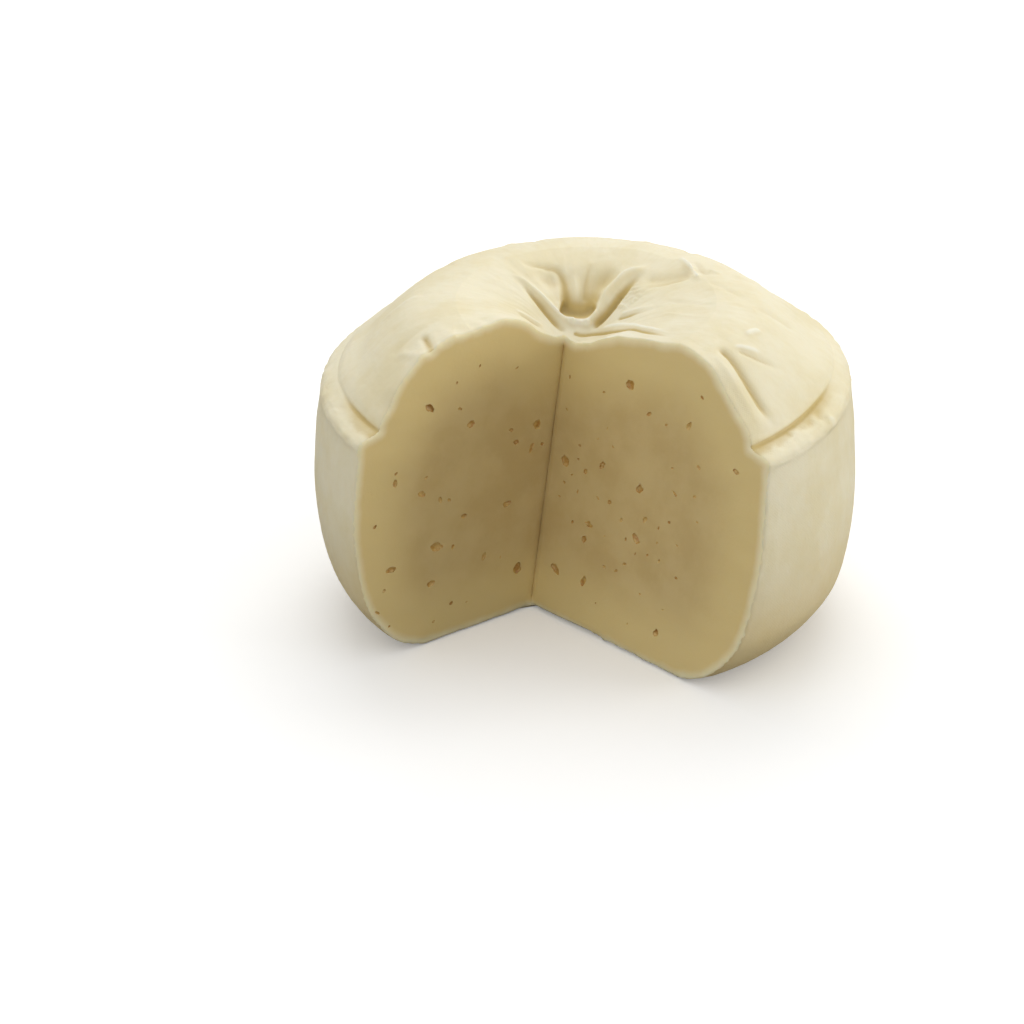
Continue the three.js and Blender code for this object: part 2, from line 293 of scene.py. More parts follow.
@dataclass(frozen=True)
class RindFinish:
    """The pressed ivory skin: clouded, cloth marks, painted shade in creases, painted highlight on ridges.
    """

    effects: Effects
    name: str = "pressed_rind"
    pale: Colour = tint(237, 228, 197)
    deep: Colour = tint(231, 219, 180)
    # Painted shade: creases turn yellow-brown and the deepest hollows darker brown
    crease: Colour = tint(199, 170, 88)
    depth: Colour = tint(146, 122, 64)
    # Painted highlight: raised ridges and crumbs turn paler
    painted_highlight: Colour = tint(245, 241, 223)
    low: Colour = tint(220, 195, 134)
    streak_ramp: Ramp = (0.45, 0.75, 0, 0.22)
    low_ramp: Ramp = (4 * MM, 46 * MM, 0.8, 0)
    crease_shade_ramp: Ramp = (-0.1, -1.6, 0, 0.8)
    depth_shade_ramp: Ramp = (-1.4, -2.6, 0, 0.65)
    painted_highlight_ramp: Ramp = (0.15, 1.1, 0, 0.75)
    rough_ramp: Ramp = (0.35, 0.7, 0.5, 0.68)
    thread_pitch: float = 0.9 * MM
    thread_height: float = 0.18
    bump: float = 0.25

    def material(self) -> Material:
        """Builds the material.

        Returns:
            The material.
        """
        made, sheet = new_material(self.name)
        place = sheet.place()
        skin = sheet.attribute("skin", "Vector")
        # Painted shade and highlight of the folds, written at each vertex
        painted_shading = sheet.attribute("painted_shading")

        cloud = sheet.group(self.effects.mottle, Vector=place, Scale=55, Light=self.pale, Deep=self.deep)
        streak_map = sheet.add("ShaderNodeMapping", {"Vector": skin, "Scale": (1, 0.45, 1)})
        streak = sheet.noise(streak_map.outputs[0], scale=420, detail=3)
        streaked = sheet.blend(sheet.fit(streak, *self.streak_ramp), cloud, self.deep)
        rise = sheet.add("ShaderNodeSeparateXYZ", {"Vector": place}).outputs["Z"]
        footed = sheet.blend(sheet.fit(rise, *self.low_ramp), streaked, self.low)
        # Painted shade where the folds sink, darkest in the deepest hollows
        crease_shaded = sheet.blend(sheet.fit(painted_shading, *self.crease_shade_ramp), footed, self.crease)
        deep_shaded = sheet.blend(sheet.fit(painted_shading, *self.depth_shade_ramp), crease_shaded, self.depth)
        # Painted highlight where the folds rise
        colour = sheet.blend(sheet.fit(painted_shading, *self.painted_highlight_ramp), deep_shaded, self.painted_highlight)

        grain = sheet.group(self.effects.grain, Vector=place, Scale=900, Coarse=1.6)
        parts = sheet.add("ShaderNodeSeparateXYZ", {"Vector": skin}).outputs
        turns = 2 * math.pi / self.thread_pitch
        waves = [sheet.maths("SINE", sheet.maths("MULTIPLY", parts[axis], turns)) for axis in ("X", "Y")]
        weave = sheet.maths("MULTIPLY_ADD", sheet.maths("MULTIPLY", *waves), 0.5, 0.5)
        threads = sheet.maths("MULTIPLY", weave, self.thread_height)
        bump = sheet.add("ShaderNodeBump", {"Strength": self.bump, "Distance": 0.4 * MM,
                                            "Height": sheet.maths("ADD", grain, threads)})
        rough = sheet.fit(streak, *self.rough_ramp)
        sheet.surface({
            "Base Color": colour, "Normal": bump.outputs[0], "Roughness": rough,
            "Specular IOR Level": 0.35, "Subsurface Weight": 0.3, "Subsurface Scale": 1.8 * MM,
            "Subsurface Radius": (1, 0.86, 0.62)})
        return made


@dataclass(frozen=True)
class PasteFinish:
    """The cut paste: a pale rind line, a yellower band and a beige core."""

    effects: Effects
    name: str = "cut_paste"
    rind_line: Colour = tint(242, 230, 189)
    # Band and core: the paste's own colours, with painted shade and the yellow of light thrown between the
    # cut faces mixed in
    band: Colour = tint(227, 204, 142)
    core: Colour = tint(212, 188, 132)
    core_deep: Colour = tint(204, 178, 121)
    line_ramp: Ramp = (0.405 * MM, 3.105 * MM, 0, 1)
    band_ramp: Ramp = (6 * MM, 24 * MM, 0, 1)
    rough_ramp: Ramp = (0.35, 0.68, 0.4, 0.56)
    wander: float = 1.6 * MM
    bump: float = 0.16

    def material(self) -> Material:
        """Builds the material.

        Returns:
            The material.
        """
        made, sheet = new_material(self.name)
        place = sheet.place()
        depth = sheet.attribute("rind_depth")

        core = sheet.group(self.effects.mottle, Vector=place, Scale=70, Light=self.core,
                           Deep=self.core_deep)
        cloud = sheet.noise(place, scale=160, detail=3)
        unsteady = sheet.maths("MULTIPLY_ADD", cloud, self.wander, -self.wander / 2)
        reach = sheet.maths("ADD", depth, unsteady)
        paste = sheet.blend(sheet.fit(reach, *self.band_ramp), self.band, core)
        colour = sheet.blend(sheet.fit(reach, *self.line_ramp), self.rind_line, paste)

        grain = sheet.group(self.effects.grain, Vector=place, Scale=700, Coarse=1.2)
        bump = sheet.add("ShaderNodeBump", {"Strength": self.bump, "Distance": 0.4 * MM, "Height": grain})
        rough = sheet.fit(cloud, *self.rough_ramp)
        sheet.surface({
            "Base Color": colour, "Normal": bump.outputs[0], "Roughness": rough,
            "Specular IOR Level": 0.4, "Subsurface Weight": 0.4, "Subsurface Scale": 3 * MM,
            "Subsurface Radius": (1, 0.8, 0.5)})
        return made


@dataclass(frozen=True)
class EyeFinish:
    """The moist amber lining of the small holes, with painted shade darkening it towards each floor."""

    effects: Effects
    name: str = "eye_lining"
    mouth: Colour = tint(216, 184, 112)
    floor: Colour = tint(182, 132, 58)
    # How deep in a hole the painted shade reaches its darkest
    depth_shade_ramp: Ramp = (0, 1.6 * MM, 0, 0.85)
    bump: float = 0.2

    def material(self) -> Material:
        """Builds the material.

        Returns:
            The material.
        """
        made, sheet = new_material(self.name)
        place = sheet.place()
        sunk = sheet.attribute("eye_depth")
        cloud = sheet.group(self.effects.mottle, Vector=place, Scale=600, Light=self.mouth,
                            Deep=self.floor)
        # Painted shade: the lining darkens towards the floor of each hole
        colour = sheet.blend(sheet.fit(sunk, *self.depth_shade_ramp), cloud, self.floor)
        grain = sheet.group(self.effects.grain, Vector=place, Scale=1500)
        bump = sheet.add("ShaderNodeBump", {"Strength": self.bump, "Distance": 0.3 * MM, "Height": grain})
        sheet.surface({
            "Base Color": colour, "Roughness": 0.34, "Normal": bump.outputs[0], "Subsurface Weight": 0.25,
            "Subsurface Scale": 2 * MM, "Subsurface Radius": (1, 0.6, 0.25)})
        return made


@dataclass(frozen=True)
class Fold:
    """A ridge, or a crease where its height is below 0, along a line in plan.

    The fades are the shares of its length over which it begins and ends, left is how much of it is left
    at its end, and the weight that follows them is how strongly it also shows as painted shade, where it
    sinks, and as painted highlight, where it rises.
    """

    path: Path
    height: float
    width: float
    fades: Span = (0.3, 0.3)
    left: float = 0.0
    light_paint: float = 1.0
    STEPS: ClassVar[int] = 5
    REACH: ClassVar[float] = 3.0

    def rise(self, plan: Array) -> Array:
        """How far the fold lifts the skin.

        Args:
            plan: Points seen from above, in millimetres, one a row.

        Returns:
            The lift at each point, in millimetres.
        """
        line = np.array([self.path[0], *spline(list(self.path), self.STEPS)])
        margin = self.REACH * self.width
        near = np.all((plan > line.min(0) - margin) & (plan < line.max(0) + margin), axis=1)
        spots = plan[near]
        nearest = np.full(len(spots), np.inf)
        where = np.zeros(len(spots))
        for step, (start, stop) in enumerate(zip(line, line[1:])):
            along = stop - start
            part = np.clip((spots - start) @ along / (along @ along), 0, 1)
            gap = np.linalg.norm(spots - start - part[:, None] * along, axis=1)
            where = np.where(gap < nearest, (step + part) / (len(line) - 1), where)
            nearest = np.minimum(gap, nearest)
        fade = ease(where, 0, self.fades[0]) * (1 - (1 - self.left) * ease(where, 1 - self.fades[1], 1))
        lift = np.zeros(len(plan))
        lift[near] = self.height * fade * np.exp(-(nearest / self.width) ** 2)
        return lift


@dataclass
class Outline:
    """Half of the wheel's outline, as distance from the axis and height."""

    base_edge: Plan = (53, 0)
    foot: Path = ((61.2, 3.6), (68.1, 11), (72, 20))
    bulge: Plan = (74.1, 38)
    wall_top: Path = ((73.2, 55), (71.9, 64.6))
    lip_neck: Plan = (71.75, 66.2)
    lip: Path = ((71.8, 67.3), (71.3, 68.5), (70, 69.3))
    groove: Plan = (65.2, 70.6)
    shoulder_foot: Plan = (64.2, 73.2)
    plain_lip: Path = ((71.5, 67.5), (70.9, 68.9), (70, 70.1))
    plain_groove: Plan = (67.7, 72.5)
    plain_foot: Plan = (65.2, 74.3)
    shoulder: Path = ((60.6, 77.1), (56, 81.4), (51.2, 85.2))
    top_edge: Path = ((47.3, 87.6), (43, 88.9), (39, 89.7))
    rim: Plan = (35, 90)
    crater_wall: Path = ((27, 88.6), (21, 87), (16, 85.1), (12.4, 83), (8.6, 80.7), (5.6, 79))
    crater_floor: Plan = (0, 77.6)
    steps: dict[str, int] = field(default_factory=lambda: {
        "base": 4, "wall": 5, "lip": 4, "ledge": 8, "shoulder": 8, "crater": 10})

    def stations(self, run_out: bool = False) -> list[Plan]:
        """The whole half outline, from the middle of the base to the crater's floor.

        Args:
            run_out: Whether the ledge has run out into a plain shoulder.

        Returns:
            Points as distance from the axis and height, in millimetres.
        """
        lip = self.plain_lip if run_out else self.lip
        groove = self.plain_groove if run_out else self.groove
        shoulder_foot = self.plain_foot if run_out else self.shoulder_foot
        steps = self.steps
        wall = [self.base_edge, *self.foot, self.bulge, *self.wall_top, self.lip_neck]
        dome = [groove, shoulder_foot, *self.shoulder, *self.top_edge, self.rim]
        line = [(self.base_edge[0] * index / steps["base"], 0.0) for index in range(steps["base"] + 1)]
        line += spline(wall, steps["wall"])
        line += spline([self.lip_neck, *lip], steps["lip"])
        line += spline([lip[-1], groove], steps["ledge"])
        line += spline(dome, steps["shoulder"])
        line += spline([self.rim, *self.crater_wall, self.crater_floor], steps["crater"])
        return line

    def groove_way(self) -> float:
        """Length of the outline from the middle of the base to the ledge's groove."""
        line = self.stations()
        last = min(range(len(line)), key=lambda index: math.dist(line[index], self.groove))
        return sum(math.dist(*pair) for pair in zip(line[:last], line[1:last + 1]))


@dataclass
class WedgeCut:
    """The cut-out wedge: its leaning inner edge and two faces."""

    edge: Triple = (-5.5, 1.8, 79)
    lean: Plan = (0.118, 0.092)
    angles: dict[Side, float] = field(default_factory=lambda: {Side.LEFT: -52.2, Side.RIGHT: 43})
    reach: float = 128
    low: float = -10
    high: float = 106
    cuts: int = 140
    kerf: float = 0.9
    wave: float = 0.13
    wave_size: float = 14
    wave_squash: float = 1.8
    wave_start: Span = (0, 9)
    on_edge: float = 0.01
    on_face: float = 0.001

    def outward(self, side: Side) -> Array:
        """Unit direction in which a face leaves the inner edge."""
        turn = math.radians(self.angles[side])
        return np.array((math.sin(turn), -math.cos(turn), 0.0))

    def edge_at(self, height: float) -> Array:
        """Point of the inner edge at a height, in millimetres."""
        rise = height - self.edge[2]
        return np.array(self.edge) + rise * np.array((*self.lean, 1.0))

    def normal(self, side: Side) -> Array:
        """Unit normal of a face, towards the empty wedge."""
        square = side.value * np.cross(self.outward(side), (*self.lean, 1.0))
        return square / np.linalg.norm(square)

    def gap(self, side: Side, points: Array) -> Array:
        """Distance of points from a face's plane, above 0 in the empty wedge."""
        return (points - np.array(self.edge)) @ self.normal(side)

    def build(self, material: Material) -> Object:
        """Builds the closed wedge that is taken out of the wheel.

        Args:
            material: Finish that its faces leave on the cut.

        Returns:
            The wedge as an object.
        """
        shape = bmesh.new()
        foot = self.edge_at(self.low)
        corners = [foot, *(foot + self.reach * self.outward(side) for side in Side)]
        sole = shape.faces.new([shape.verts.new(Vector(corner) * MM) for corner in corners])
        grown = bmesh.ops.extrude_face_region(shape, geom=[sole])
        tops = [part for part in grown["geom"] if isinstance(part, BMVert)]
        lift = (self.high - self.low) * np.array((*self.lean, 1.0))
        bmesh.ops.translate(shape, verts=tops, vec=Vector(lift) * MM)
        bmesh.ops.subdivide_edges(shape, edges=shape.edges[:], cuts=self.cuts, use_grid_fill=True)
        bmesh.ops.recalc_face_normals(shape, faces=shape.faces[:])
        self._drag(shape)
        return new_object("wedge_tool", shape, material)

    def _drag(self, shape: BMesh) -> None:
        """Gives both faces the slight waves a knife leaves, and runs their corner in a little.

        Args:
            shape: The wedge's bmesh.
        """
        spots = np.array([vert.co for vert in shape.verts]) / MM
        edge = np.array([self.edge_at(height) for height in spots[:, 2]])
        move = np.zeros_like(spots)
        corner = np.linalg.norm(spots - edge, axis=1) < self.on_edge
        move[corner] = -self.kerf * (self.outward(Side.LEFT) + self.outward(Side.RIGHT)) / 2
        for side in Side:
            out = (spots - edge) @ self.outward(side)
            flat = np.abs(self.gap(side, spots)) < self.on_face
            rows = np.flatnonzero(flat & (out > self.on_edge) & (out < self.reach - self.on_edge))
            waves = swell(spots[rows] * (1, 1, self.wave_squash), self.wave_size)
            push = self.wave * waves * ease(out[rows], *self.wave_start)
            move[rows] += push[:, None] * self.normal(side)
        for vert, shift in zip(shape.verts, move):
            vert.co += Vector(shift) * MM


@dataclass
class Eyes:
    """The small holes that show on both faces of the cut."""

    placed: dict[Side, tuple[Triple, ...]] = field(default_factory=lambda: {
        Side.LEFT: (
            (43.9, 69.3, 1.8), (29.3, 61.2, 1.3), (5.9, 54.9, 1.5), (6.9, 48.6, 1.5), (12.7, 51.8, 1),
            (52.8, 50.7, 1.1), (43.5, 45.3, 1.1), (36.9, 41.9, 1), (13.2, 34.2, 1.3), (27.9, 34.8, 1.1),
            (36.4, 28.4, 1.8), (51, 26, 1.4), (33.7, 66.5, 0.7), (15, 55.8, 0.7), (3.3, 48.8, 0.7),
            (52.9, 53.5, 0.5), (42.6, 49.6, 0.7), (33.8, 41, 0.6), (58, 40.1, 0.8), (30.5, 26.7, 0.7),
            (52.6, 20.5, 0.6), (15.6, 73.4, 0.5), (35.8, 74.2, 0.5), (28.6, 77.1, 0.5)),
        Side.RIGHT: (
            (25.9, 72.5, 1.5), (48.4, 67.9, 1.1), (34, 66.8, 1.1), (66.4, 61.1, 1), (51.4, 76.5, 0.6),
            (40.5, 65.8, 0.7), (17, 67.8, 0.6), (4.3, 59.2, 0.5), (3.8, 68.2, 0.5))})
    tries: dict[Side, int] = field(default_factory=lambda: {Side.LEFT: 16, Side.RIGHT: 70})
    highest: dict[Side, float] = field(default_factory=lambda: {Side.LEFT: 22, Side.RIGHT: 60})
    spacing: float = 3.6
    out_range: Span = (5, 56)
    lowest: float = 6
    sizes: Span = (0.45, 1.75)
    small_bias: float = 2.6
    seed: int = 5
    rolls: Span = (-0.7, 1.7)
    depths: Span = (0.28, 0.55)
    lengths: Span = (0.95, 1.2)
    widths: Span = (0.48, 0.85)
    sinks: Span = (-0.2, 0.2)
    fine_over: float = 1.2
    lump: float = 0.42
    lump_scale: float = 1.5
    lump_step: float = 3.1

    def places(self, side: Side, rng: random.Random) -> list[Triple]:
        """Every eye of a face: those listed, and those drawn for its lower part.

        Args:
            side: Which face.
            rng: The seeded draw.

        Returns:
            Distance out, height and half size of each, in millimetres.
        """
        kept = list(self.placed[side])
        for _ in range(self.tries[side]):
            out = rng.uniform(*self.out_range)
            height = rng.uniform(self.lowest, self.highest[side])
            half = self.sizes[0] + (self.sizes[1] - self.sizes[0]) * rng.random() ** self.small_bias
            if all(math.hypot(out - x, height - z) > self.spacing for x, z, _ in kept):
                kept.append((out, height, half))
        return kept

    def build(self, cut: WedgeCut, material: Material) -> Object:
        """Builds the bubbles that are taken out of the cut faces.

        Args:
            cut: The wedge on whose faces they open.
            material: Finish of their lining.

        Returns:
            All bubbles as one object.
        """
        rng = random.Random(self.seed)
        shape = bmesh.new()
        for side in Side:
            for eye in self.places(side, rng):
                self._bubble(shape, cut, side, eye, rng)
        bmesh.ops.recalc_face_normals(shape, faces=shape.faces[:])
        return new_object("eye_tool", shape, material)

    def _bubble(self, shape: BMesh, cut: WedgeCut, side: Side, eye: Triple, rng: random.Random) -> None:
        """Adds one uneven bubble.

        Args:
            shape: The bmesh that it joins.
            cut: The wedge.
            side: The face it opens on.
            eye: Distance out, height and half size.
            rng: The seeded draw.
        """
        out, height, half = eye
        normal = Vector(cut.normal(side))
        along = Vector(cut.outward(side))
        mouth = Vector(cut.edge_at(height) + out * cut.outward(side))
        turn = Matrix((along, normal.cross(along), normal)).transposed().to_4x4()
        roll = Matrix.Rotation(rng.uniform(*self.rolls), 4, "Z")
        deep = half * rng.uniform(*self.depths)
        long = half * rng.uniform(*self.lengths)
        wide = half * rng.uniform(*self.widths)
        stretch = Matrix.Diagonal((long, wide, deep, 1.0))
        centre = mouth - normal * (deep * rng.uniform(*self.sinks))
        place = Matrix.Translation(centre * MM) @ Matrix.Scale(MM, 4) @ turn @ roll @ stretch
        fineness = 3 if half > self.fine_over else 2
        made = bmesh.ops.create_icosphere(shape, subdivisions=fineness, radius=1)
        offset = Vector(eye) * self.lump_step
        for vert in made["verts"]:
            vert.co *= 1 + self.lump * noise.noise(vert.co * self.lump_scale + offset)
        bmesh.ops.transform(shape, matrix=place, verts=made["verts"])


@dataclass
class Wheel:
    """The whole cheese: pressed, gathered at the top, and cut."""

    name: str = "dressed_cheese_wheel"
    node: str = "cheese_wheel"
    slot: str = "cheese"
    outline: Outline = field(default_factory=Outline)
    cut: WedgeCut = field(default_factory=WedgeCut)
    eyes: Eyes = field(default_factory=Eyes)
    round_steps: int = 420
    seam: float = 0.002
    axis_core: float = 1
    fold_start: float = 66.8
    ledge_angles: Span = (58, 88)
    ledge_left: float = 0.3
    ledge_full: float = 0.95
    tilt_x: Span = (0.028, 0.004)
    tilt_y: float = 0.06
    tilt_from: float = 15
    foot_shift: float = 0.9
    foot_top: float = 45
    crater_shift: float = -2
    crater_reach: float = 40
    swells: tuple[Fold, ...] = (
        Fold(((-52, -34), (-45.5, -29.3), (-38.4, -23.7)), 1.25, 5, fades=(0.3, 0.35), light_paint=0),
        Fold(((-35, -21), (-30.8, -17.9), (-27, -15)), -1.1, 3.5, fades=(0.35, 0.35), light_paint=0),
        Fold(((-26, -14), (-19.5, -9), (-12, -3.2)), 1.5, 5, fades=(0.35, 0.45), light_paint=0),
        Fold(((-3, -1.5), (2.5, -6.3), (7, -10.5)), 0.5, 3, fades=(0.3, 0.4), light_paint=0),
        Fold(((7, -11), (16, -19.8), (25, -29)), -1, 6, fades=(0.3, 0.4), light_paint=0),
        Fold(((32, -37.5), (36, -43), (39.5, -47.5)), -0.6, 5, light_paint=0),
        Fold(((-13, 22), (-4, 20.5), (4, 20.2), (10.4, 20)), -1.5, 4, fades=(0.2, 0.3), light_paint=0.25),
        Fold(((-7, 14.5), (-1, 14.5), (5, 15)), -1.8, 3.6, fades=(0.2, 0.35), left=0.15, light_paint=0.35),
        Fold(((-6.6, 12.2), (-3.2, 11.2), (0, 11), (3.2, 12.2)), -2, 2.5, fades=(0.1, 0.15), left=0.4,
             light_paint=0.9))
    gathers: tuple[Fold, ...] = (
        Fold(((-24.1, 19), (-17.8, 18.2), (-13.5, 14.1), (-10.1, 11), (-6.8, 8.6), (-3.6, 7.7)),
             1.1, 0.95, fades=(0.45, 0.2), left=0.8),
        Fold(((-21, 19.5), (-16.6, 16.4), (-13.8, 12.3), (-10.9, 8.9), (-8.3, 6.4), (-6.4, 4.8)),
             -1.35, 1.2, fades=(0.5, 0.2), left=0.6),
        Fold(((-17.3, 25.3), (-11.2, 25.3), (-7.6, 24.9), (-5.7, 22), (-4.9, 17.5), (-4.6, 13.7)),
             -0.8, 0.95, fades=(0.15, 0.2), left=0.6),
        Fold(((-13, 23.4), (-9.4, 19.6), (-7.4, 15.6), (-6, 12.6)), -0.8, 2.8,
             fades=(0.25, 0.15), left=0.5, light_paint=0.5),
        Fold(((9.4, 23.4), (5.5, 20.9), (3, 17.2), (1.6, 13.2)), -0.7, 2.5, fades=(0.25, 0.2), left=0.3,
             light_paint=0.7),
        Fold(((-2.5, 23.5), (-2, 17.5), (-2, 13)), 0.6, 1.2, light_paint=0.4),
        Fold(((2.3, 26.9), (1.1, 23.7), (0.4, 19.8), (0.1, 15.5)), -0.5, 0.8, left=0.6),
        Fold(((18, 22.6), (15, 21.5), (11.3, 20), (7.3, 16.6), (4.4, 12.6), (2.5, 8.4), (1.1, 6.7)),
             1.7, 1.4, fades=(0.25, 0.2), left=0.7, light_paint=0.4),
        Fold(((17, 21.6), (13.2, 17.4), (9.8, 13.1), (6.9, 9.5), (4.4, 7.2), (2.8, 6.2)), -1.7, 1.3,
             fades=(0.45, 0.15), left=0.9, light_paint=1.25),
        Fold(((-5.3, 7.6), (-1.4, 7.6), (1.8, 6.1)), 1, 1, left=0.4, light_paint=2.2),
        Fold(((9.3, 5.3), (12.2, 4.7), (16.1, 3.6), (20.5, 1.8)), 0.35, 0.8, fades=(0.15, 0.7), light_paint=2),
        Fold(((8.6, 4.2), (12, 2.9), (17.1, 1.4)), -0.5, 0.75, fades=(0.15, 0.6), light_paint=2.8),
        Fold(((3.6, 3.8), (9.5, 0.2), (15.5, -10.4), (22.1, -19)), 0.4, 0.8, fades=(0.2, 0.3), light_paint=2.8),
        Fold(((-3.2, 4), (-1, 2.9), (3.8, 1.8), (8.9, -3), (15.9, -13.6), (22.4, -21.2)), -0.6, 0.8,
             fades=(0.06, 0.25), light_paint=3),
        Fold(((2, -3.6), (5.6, -7), (10, -11), (17, -18.6)), 0.15, 2.4, light_paint=5),
        Fold(((-19.9, 2), (-15.7, 1.9), (-11.1, 1.8)), 0.35, 0.75, light_paint=2),
        Fold(((-18.9, 0.6), (-14.8, 0.4), (-11.3, 0.5)), -0.4, 0.75, light_paint=2.2),
        Fold(((26.2, 26.6), (28.9, 20.2), (30.8, 13.4)), 1.15, 0.8, fades=(0.25, 0.12), left=0.3),
        Fold(((30.4, 25.7), (31.9, 19.6), (33.6, 15.5)), -0.5, 0.85),
        Fold(((16.2, 17.4), (20.6, 16), (25.4, 16.6), (28.6, 17.6)), -0.9, 2.4, fades=(0.2, 0.1), left=0.8,
             light_paint=0.7),
        Fold(((15.5, 12.9), (21.8, 13.6), (29.2, 15.3)), -0.3, 1, light_paint=1.5),
        Fold(((34.2, 18.8), (35.3, 18.1), (36.6, 17.2)), 0.6, 0.9, fades=(0.2, 0.2), left=0.3),
        Fold(((32, 13), (38.2, 6.5), (44.4, 0.5)), -0.3, 1.1),
        Fold(((20, 5.3), (27.8, -0.4), (35.5, -5.5)), -0.25, 0.9),
        Fold(((18, -1.5), (26, -8), (34, -13.5)), 0.25, 0.9))
    creases: tuple[Fold, ...] = (
        Fold(((33.6, -27.4), (37, -31.2), (40, -35.2), (43.3, -39.5), (46.8, -42.8)), -1.2, 1.1,
             fades=(0.14, 0.2), left=0.2),
        Fold(((31.8, -30), (35.1, -35.3), (38.7, -40), (42.4, -44.7), (44.7, -46.4)), 0.45, 1.2,
             light_paint=0.5),
        Fold(((38.5, -27.1), (42.3, -27.1), (46.6, -26.5), (52.5, -25)), -0.55, 0.75, fades=(0.14, 0.45),
             light_paint=1.5),
        Fold(((37, -26.3), (41.2, -24.9), (45.8, -24)), 0.3, 0.9, light_paint=3.4),
        Fold(((41.3, -19.4), (43.4, -16.5), (45.9, -14.3)), 0.5, 1, light_paint=2.2),
        Fold(((-43.3, -17.1), (-42.1, -21.2), (-40.7, -26)), -1.25, 0.95, left=1),
        Fold(((-50.1, -18.8), (-46.7, -22.8), (-42.4, -27.5)), 0.4, 0.9, left=0.6),
        Fold(((52, -42.6), (53, -42), (54.6, -41)), 0.6, 1.6, left=0.5),
        Fold(((61.8, -33.4), (62.8, -32), (63.6, -30.4)), 0.5, 1.7, left=0.5),
        Fold(((50.8, -45.6), (51.6, -45.2), (52.6, -44.6)), 0.3, 1.3, left=0.5))
    back_folds: int = 9
    back_angles: Span = (75, 300)
    back_radii: Triple = (44, 53, 58)
    back_heights: Span = (0.3, 0.65)
    back_places: Span = (0.2, 0.8)
    back_turn: float = 6
    back_width: float = 1.5
    back_seed: int = 11
    frost: Plan = (12.2, 11.2)
    frost_reach: Span = (2, 6)
    frost_height: float = 0.55
    frost_grain: float = 1.3
    groove_depth: float = 0.35
    groove_width: float = 0.7
    # Painted shade in the ledge's groove and on its shelf
    groove_shade: float = 1.1
    shelf_shade: float = 0.9
    shelf_inner: Span = (64.6, 66.4)
    shelf_outer: Span = (67, 70)
    shelf_end: Span = (71, 73)
    ripple: float = 0.15
    # Painted highlight on the ripples' crests, painted shade in their dips
    ripple_shading: float = 0.5
    ripple_spokes: float = 9
    ripple_length: float = 22
    ripple_start: Span = (79, 85)
    ripple_inner: Span = (3, 14)
    ripple_outer: Span = (40, 52)
    sway: float = 0.3
    sway_size: float = 26
    sway_start: Span = (1, 12)
    sway_inner: Span = (4, 30)
    crumb: float = 0.34
    # Painted highlight on the lip's crumbs, painted shade between them
    crumb_shading: float = 1.3
    crumb_size: float = 3.4
    lip_start: Span = (66.2, 68)
    lip_end: Span = (69.6, 71.2)
    lip_inner: Span = (63, 68)
    cloth: float = 0.07
    cloth_size: float = 2.2
    cloth_squash: float = 2.2
    cloth_start: Span = (1, 6)
    cloth_inner: Span = (12, 30)
    weld: float = 0.01
    sliver: float = 0.22
    flat: float = 0.005
    edge_rings: int = 3
    edge_passes: int = 7
    sharp: float = 0.6
    piece: Optional[Object] = None

    def build(self, effects: Effects) -> Object:
        """Builds, cuts and dresses the wheel.

        Args:
            effects: The shared shader groups.

        Returns:
            The finished piece.
        """
        rind = RindFinish(effects).material()
        paste = PasteFinish(effects).material()
        lining = EyeFinish(effects).material()
        blank = self._turn()
        self._press(blank)
        skin = self._skin(blank)
        whole = new_object("blank_wheel", blank, rind)
        tools = [self.cut.build(paste), self.eyes.build(self.cut, lining)]
        self.piece = self._carve(whole, tools)
        self._soften()
        self._mark(skin)
        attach(self.piece, "root")
        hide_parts(self.node)
        return self.piece

    def _turn(self) -> BMesh:
        """Spins the half outline into the uncut wheel.

        Returns:
            The closed bmesh. Its layer plain holds each vertex's distance from the axis and height
            where the ledge has run out, and its way up the outline, in millimetres.
        """
        shape = bmesh.new()
        plain = shape.verts.layers.float_vector.new("plain")
        chain: list[BMVert] = []
        length = 0.0
        last = (0.0, 0.0)
        for station, filled in zip(self.outline.stations(), self.outline.stations(run_out=True)):
            length += math.dist(station, last)
            last = station
            vert = shape.verts.new((0.0, station[0] * MM, station[1] * MM))
            vert[plain] = (*filled, length)
            chain.append(vert)
        links = [shape.edges.new(pair) for pair in zip(chain, chain[1:])]
        bmesh.ops.spin(shape, geom=chain + links, cent=(0, 0, 0), axis=(0, 0, 1), angle=2 * math.pi,
                       steps=self.round_steps, use_merge=True)
        bmesh.ops.remove_doubles(shape, verts=shape.verts[:], dist=self.seam * MM)
        bmesh.ops.recalc_face_normals(shape, faces=shape.faces[:])
        return shape

    def _settle(self, spots: Array) -> Array:
        """Leans the turned wheel as it stands.

        Args:
            spots: Points of the turned wheel in millimetres.

        Returns:
            Where they come to lie.
        """
        x, y, z = spots.T
        raised = ease(z, self.tilt_from, self.outline.groove[1])
        domed = ease(z, self.outline.groove[1], self.outline.rim[1])
        slope = raised * (self.tilt_x[0] + (self.tilt_x[1] - self.tilt_x[0]) * domed)
        foot = self.foot_shift * (1 - ease(z, 0, self.foot_top))
        middle = raised * self.crater_shift * (1 - ease(np.hypot(x, y), 0, self.crater_reach))
        return np.stack((x + foot + middle, y, z + slope * x + raised * self.tilt_y * y), axis=1)

